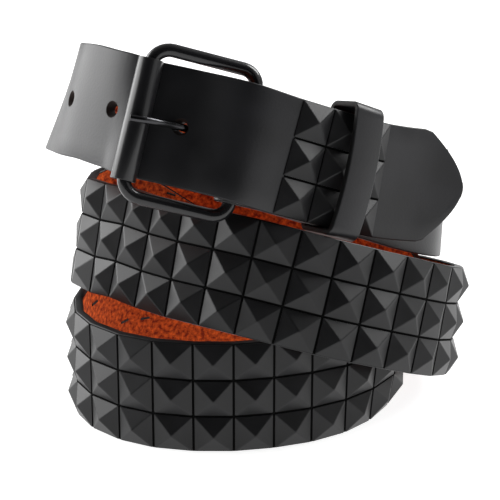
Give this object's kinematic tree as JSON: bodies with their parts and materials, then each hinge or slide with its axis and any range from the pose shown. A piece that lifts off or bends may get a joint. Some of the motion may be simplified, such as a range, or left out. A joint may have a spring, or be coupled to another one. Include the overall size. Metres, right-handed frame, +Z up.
{
  "type": "studded leather belt, buckled and coiled",
  "caption": "Leather belt with rows of pyramid studs, a roller buckle and a leather keeper, buckled and coiled in stacked turns.",
  "frame": {"origin": "centre of the coil's bounding box, on the surface it stands on", "axes": "+Z up; +X to the right as the buckle is seen from the front; +Y away from the buckle's side, to the back of the coil"},
  "size_m": [0.1476, 0.1156, 0.1315],
  "materials": {
    "strap": "satin black grain outside, with black metal studs fused to it; the real inside is orange suede",
    "buckle_frame": "gloss black",
    "roller": "gloss black",
    "prong": "black nickel",
    "keeper": "satin black",
    "rivet_1": "dark nickel",
    "rivet_2": "dark nickel"
  },
  "bodies": {
    "root": {"strap": "strap", "buckle_frame": "buckle_frame", "roller": "roller", "prong": "prong", "keeper": "keeper", "rivet_1": "rivet_1", "rivet_2": "rivet_2"}
  },
  "joints": []
}
